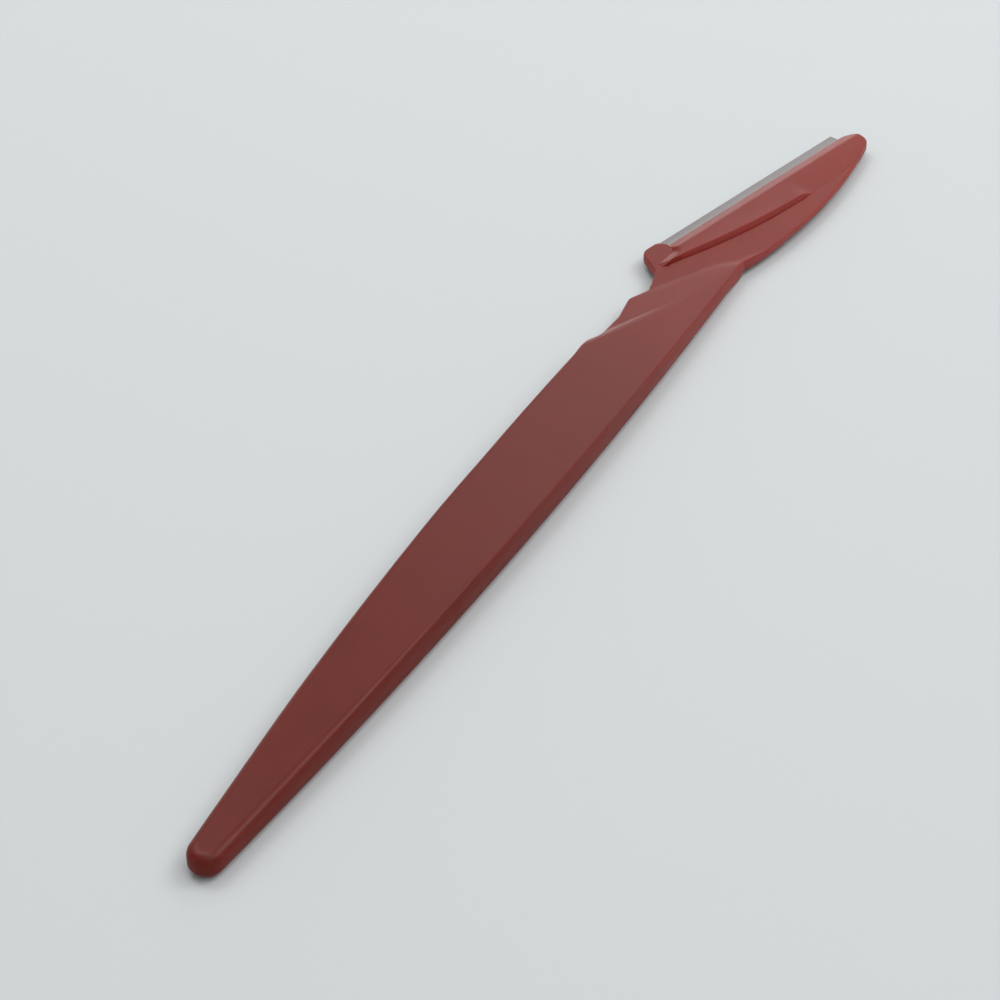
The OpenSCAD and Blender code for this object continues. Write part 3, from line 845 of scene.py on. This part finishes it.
# Materials
def fill(tree, made, values, links):
    """Sets a node's sockets and links outputs into them."""
    for key, value in values.items():
        made.inputs[key].default_value = value
    for key, output in links.items():
        tree.links.new(output, made.inputs[key])
    return made


def node(tree, kind, values={}, links={}, **settings):
    made = tree.nodes.new("ShaderNode" + kind)
    for key, value in settings.items():
        setattr(made, key, value)
    return fill(tree, made, values, links)


def new_material(name):
    material = bpy.data.materials.new(name)
    material.use_nodes = True
    tree = material.node_tree
    return material, tree, tree.nodes["Principled BSDF"]


def attribute(tree, name):
    return node(tree, "Attribute", attribute_name=name).outputs["Fac"]


def mapped(tree, vector, values):
    return node(tree, "Mapping", values, {"Vector": vector}).outputs["Vector"]


def noise(tree, vector, scale, detail):
    return node(tree, "TexNoise", {"Scale": scale, "Detail": detail},
                {"Vector": vector}).outputs["Fac"]


def tinted(tree, factor, *stops):
    """A colour ramp of two stops, each a place and a colour."""
    made = node(tree, "ValToRGB", {}, {"Fac": factor})
    for element, (place, colour) in zip(made.color_ramp.elements, stops):
        element.position = place
        element.color = (*colour, 1)
    return made.outputs["Color"]


def bumped(tree, height, strength, depth, **under):
    return node(tree, "Bump", {"Strength": strength, "Distance": depth},
                {"Height": height, **under}).outputs["Normal"]


def plastic(name, seed):
    """Moulded plastic with cloudy colour, a fine grain and handling scratches along the part.

    It reads the points' own values: thin, the painted light in its base colour, side and shine.
    """
    material, tree, shader = new_material(name)
    place = node(tree, "TexCoord").outputs["Object"]
    shifted = mapped(tree, place, {"Location": (seed, seed * 0.37, 0)})
    stretched = mapped(tree, place, {"Rotation": (0, 0, 0.12), "Scale": (140, 5200, 900)})
    cloud = noise(tree, shifted, scale=160, detail=3)
    wave = noise(tree, shifted, scale=420, detail=1)
    grain = noise(tree, shifted, scale=5200, detail=2)
    scratch = noise(tree, stretched, scale=1, detail=4)

    # painted light: the base colour lightens towards the head and on its side walls, standing in
    # for brighter lamp light there and for light through the thin plastic
    tint = tinted(tree, cloud, (0.3, RED_DARK), (0.7, RED_LIGHT))
    painted_gain = tinted(tree, attribute(tree, "thin"), (0.0, BASE_GAIN), (1.0, PAINTED_LIGHT_GAIN))
    colour = node(tree, "Mix", {"Factor": 1.0}, {"A": tint, "B": painted_gain},
                  data_type="RGBA", blend_type="MULTIPLY")

    # the side walls of the mould are coarser than its faces
    rough = node(tree, "MapRange",
                 {"From Min": 0.35, "From Max": 0.7, "To Min": 0.28, "To Max": 0.37},
                 {"Value": scratch})
    coarse = node(tree, "Math", {1: 0.2},
                  {0: attribute(tree, "side"), 2: rough.outputs["Result"]},
                  operation="MULTIPLY_ADD")

    waves = bumped(tree, wave, strength=0.12, depth=0.00005)
    fill(tree, shader, {
        "IOR": 1.46,
        "Specular IOR Level": SHINE,
        "Subsurface Weight": 1.0,
        "Subsurface Radius": (1.0, 0.12, 0.06),
        "Subsurface Scale": 0.0008,
    }, {
        "Base Color": colour.outputs["Result"],
        "Roughness": coarse.outputs["Value"],
        "Specular IOR Level": attribute(tree, "shine"),
        "Normal": bumped(tree, grain, strength=0.25, depth=0.00001, Normal=waves),
    })
    return material


def steel(name):
    """Steel with fine grinding lines across the edge."""
    material, tree, shader = new_material(name)
    place = node(tree, "TexCoord").outputs["Object"]
    turned = mapped(tree, place, {"Rotation": (0, 0, TURN)})
    stretched = mapped(tree, turned, {"Scale": (9000, 260, 900)})
    lines = noise(tree, stretched, scale=1, detail=3)
    rough = node(tree, "MapRange", {"To Min": 0.24, "To Max": 0.4}, {"Value": lines})
    fill(tree, shader, {"Metallic": 1.0}, {
        "Base Color": tinted(tree, lines, (0.3, STEEL_DARK), (0.7, STEEL_LIGHT)),
        "Roughness": rough.outputs["Result"],
        "Normal": bumped(tree, lines, strength=0.2, depth=0.000004),
    })
    return material


handle_mat = plastic("handle_plastic_finish", 0.13)
cover_mat = plastic("cover_plastic_finish", 0.71)
steel_mat = steel("blade_steel_finish")

handle.data.materials.append(handle_mat)
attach(handle, "root")
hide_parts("handle")
cover.data.materials.append(cover_mat)
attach(cover, "root")
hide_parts("blade_cover")
for peg in pegs:
    peg.data.materials.append(cover_mat)
    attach(peg, "root")
blade.data.materials.append(steel_mat)
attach(blade, "root")
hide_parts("blade")

# Floor, in metres from here on
FLOOR_HALF, FLOOR_Z = 4, -0.0001
corners = [(FLOOR_HALF * i, FLOOR_HALF * j) for i, j in ((-1, -1), (1, -1), (1, 1), (-1, 1))]
floor_mesh = bpy.data.meshes.new("floor")
floor_mesh.from_pydata([(x, y, FLOOR_Z) for x, y in corners], [], [(0, 1, 2, 3)])
floor = bpy.data.objects.new("floor", floor_mesh)
bpy.context.scene.collection.objects.link(floor)
floor_mat, floor_tree, floor_shader = new_material("floor_paper")
fill(floor_tree, floor_shader, {
    "Base Color": (0.66, 0.69, 0.70, 1), "Roughness": 0.9, "Specular IOR Level": 0.0,
}, {})
floor.data.materials.append(floor_mat)

# Light: a pale studio sky, brightest at the horizon and white at its top, and softboxes. Each
# stop is a height and a level.
SKY = [(0.0, 1.9), (0.15, 0.75), (0.38, 0.7), (0.55, 0.72), (0.72, 0.5)]
SKY_STRENGTH = 0.48
world = bpy.data.worlds.new("studio")
bpy.context.scene.world = world
world.use_nodes = True
direction = node(world.node_tree, "TexCoord").outputs["Generated"]
axes = node(world.node_tree, "SeparateXYZ", {}, {"Vector": direction})
sky = node(world.node_tree, "ValToRGB", {}, {"Fac": axes.outputs["Z"]})
sky.color_ramp.interpolation = "EASE"
stops = sky.color_ramp.elements
for place, level in SKY:
    stop = stops.new(place) if place > 0 else stops[0]
    stop.color = (level * 0.97, level * 0.99, level, 1)
fill(world.node_tree, world.node_tree.nodes["Background"], {"Strength": SKY_STRENGTH},
     {"Color": sky.outputs["Color"]})


def aimed(obj, place, target):
    """Places a lamp or a camera and turns it towards a target."""
    obj.location = place
    obj.rotation_euler = (Vector(target) - Vector(place)).to_track_quat("-Z", "Y").to_euler()
    bpy.context.scene.collection.objects.link(obj)


def softbox(name, place, target, size, power):
    lamp = bpy.data.lights.new(name, "AREA")
    lamp.shape = "RECTANGLE"
    lamp.size, lamp.size_y = size
    lamp.energy = power
    aimed(bpy.data.objects.new(name, lamp), place, target)


softbox("side_softbox", (0.42, 0.1, 0.3), (0, 0, 0), (0.32, 0.32), 0.4)
softbox("back_softbox", (0.8, 0.55, 0.085), (0, 0, 0), (0.8, 0.15), 0.8)
softbox("window_softbox", (0.12, 0.4, 0.6), (0, 0, 0), (0.4, 0.4), 0.9)
softbox("top_softbox", (0.15, 0.3, 0.9), (0.05, 0, 0), (0.3, 0.3), 0.8)
softbox("right_softbox", (0.5, -0.4, 0.7), (0, 0, 0), (0.45, 0.45), 2.2)
softbox("front_softbox", (0.0, -0.4, 0.9), (0, 0, 0), (0.8, 0.8), 2.8)

# Camera, at the photograph's angle
camera_data = bpy.data.cameras.new("camera")
camera_data.sensor_width = 36
camera_data.lens = 119.16
camera_data.clip_start = 0.01
camera = bpy.data.objects.new("camera", camera_data)
aimed(camera, place=(-0.25346, -0.129686, 0.230525), target=(-0.012058, 0.001468, 0.0))
bpy.context.scene.camera = camera
bpy.context.scene.view_settings.view_transform = "Standard"
